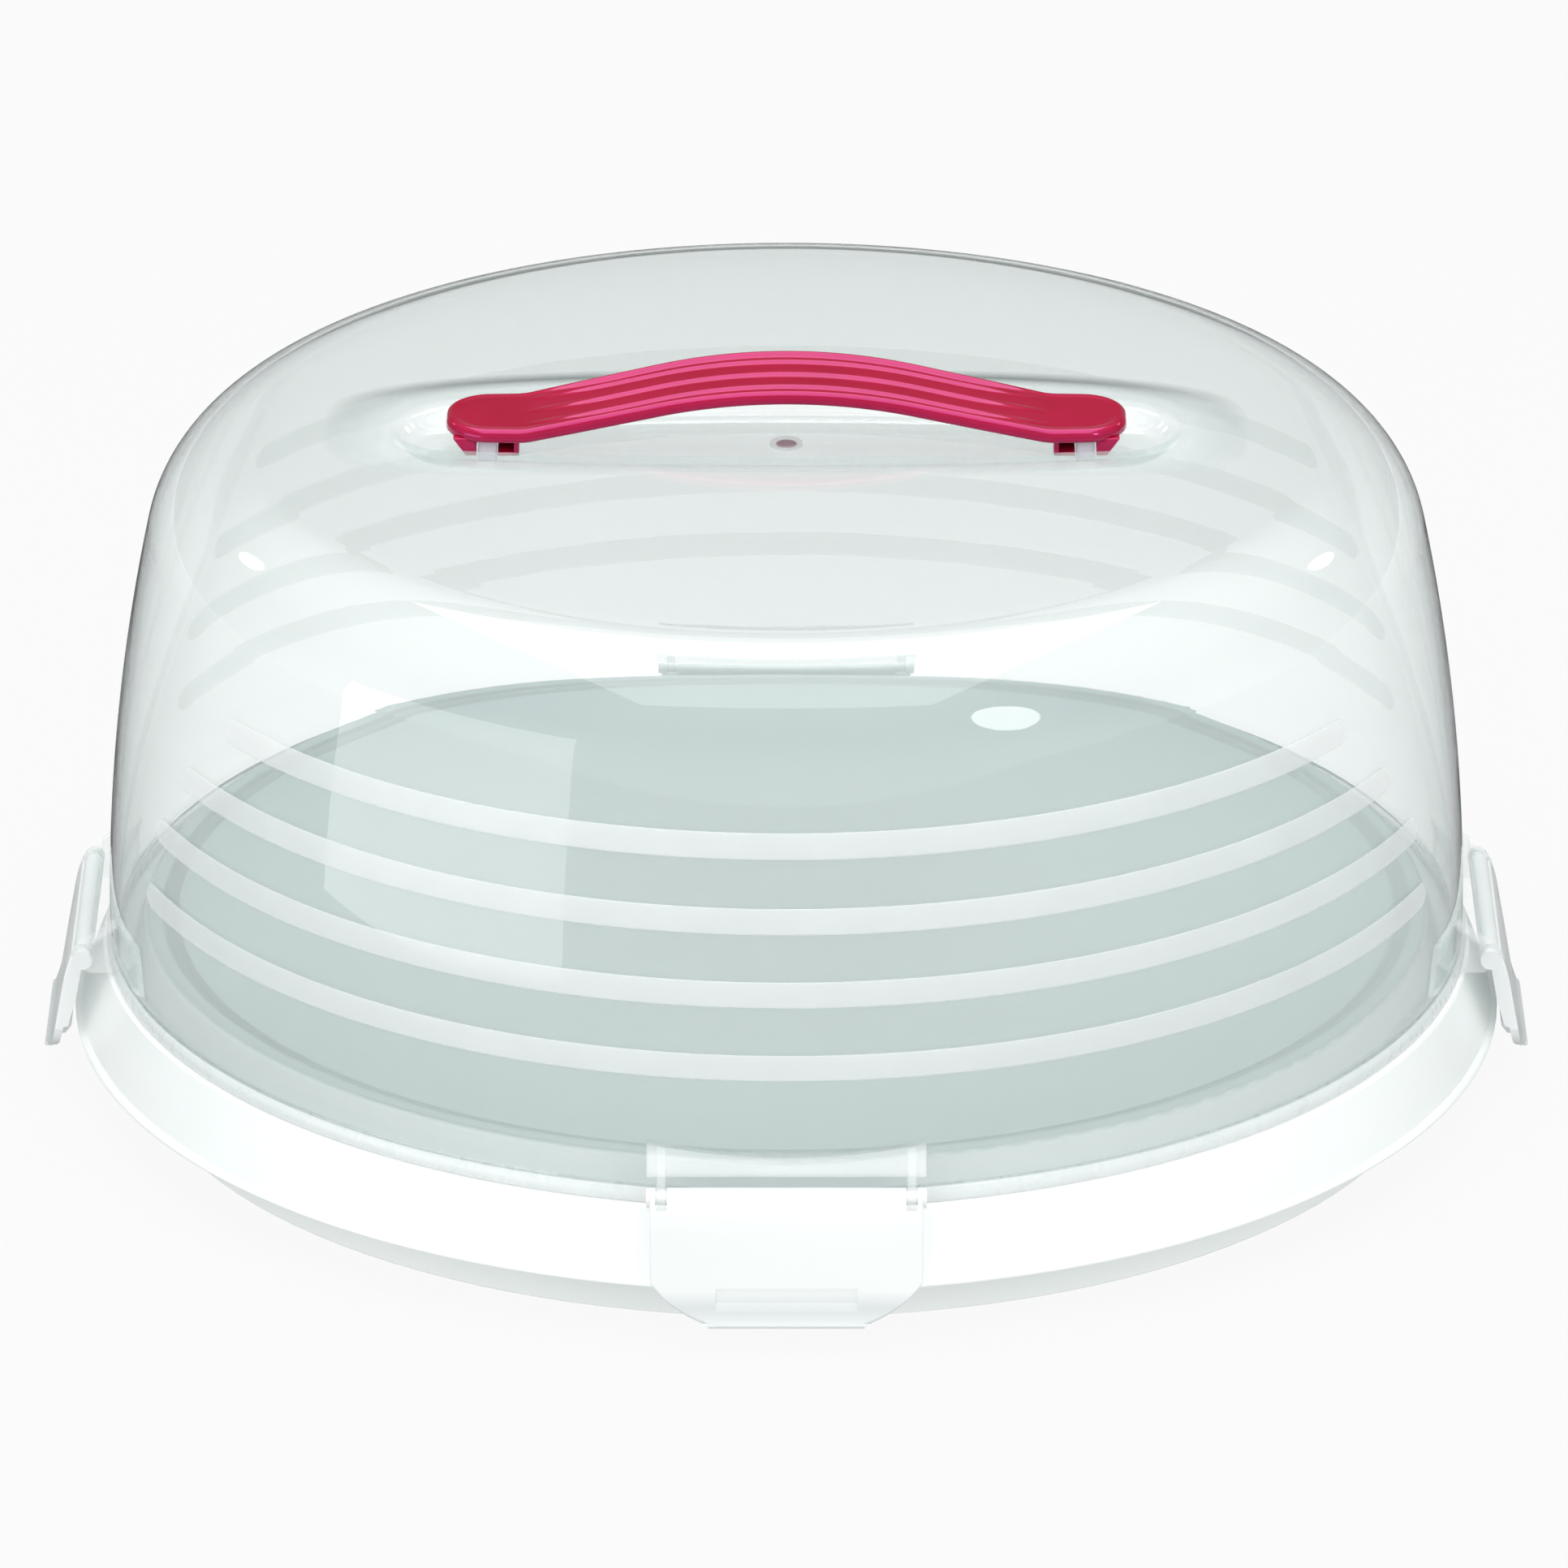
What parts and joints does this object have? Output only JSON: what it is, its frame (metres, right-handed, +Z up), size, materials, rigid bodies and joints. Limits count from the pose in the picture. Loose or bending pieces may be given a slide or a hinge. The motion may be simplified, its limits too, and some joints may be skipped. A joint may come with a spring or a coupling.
{
  "type": "round cake carrier",
  "caption": "Round cake carrier with a white base and raised serving plate, a clear domed lid with frosted stripes, swinging side clips and a red strap handle.",
  "frame": {"origin": "on the resting plane, under the middle of the base", "axes": "+Z up, the strap handle runs along X, the front clip is at -Y"},
  "size_m": [0.3462, 0.3462, 0.169],
  "materials": {
    "base_white": "smooth gloss",
    "lid_clear": "clear gloss with frosted stripes",
    "handle_red": "smooth gloss",
    "clip_white": "smooth gloss"
  },
  "bodies": {
    "base": {"base_tray": "base_white"},
    "lid": {"dome_lid": "lid_clear", "carry_handle": "handle_red"},
    "clip_front": {"front_clip": "clip_white"},
    "clip_rear": {"rear_clip": "clip_white"},
    "clip_left": {"left_clip": "clip_white"},
    "clip_right": {"right_clip": "clip_white"}
  },
  "joints": [
    {"name": "lid_lift", "type": "slide", "parent": "base", "child": "lid", "axis": [0, 0, 1], "range_m": [0, 0.18]},
    {"name": "front_clip_hinge", "type": "hinge", "parent": "lid", "child": "clip_front", "pos_m": [0, -0.1632, 0.0346], "axis": [-1, 0, 0], "range_deg": [-5, 110]},
    {"name": "rear_clip_hinge", "type": "hinge", "parent": "lid", "child": "clip_rear", "pos_m": [0, 0.1632, 0.0346], "axis": [1, 0, 0], "range_deg": [-5, 110]},
    {"name": "left_clip_hinge", "type": "hinge", "parent": "lid", "child": "clip_left", "pos_m": [-0.1632, 0, 0.0346], "axis": [0, 1, 0], "range_deg": [-5, 110]},
    {"name": "right_clip_hinge", "type": "hinge", "parent": "lid", "child": "clip_right", "pos_m": [0.1632, 0, 0.0346], "axis": [0, -1, 0], "range_deg": [-5, 110]}
  ]
}
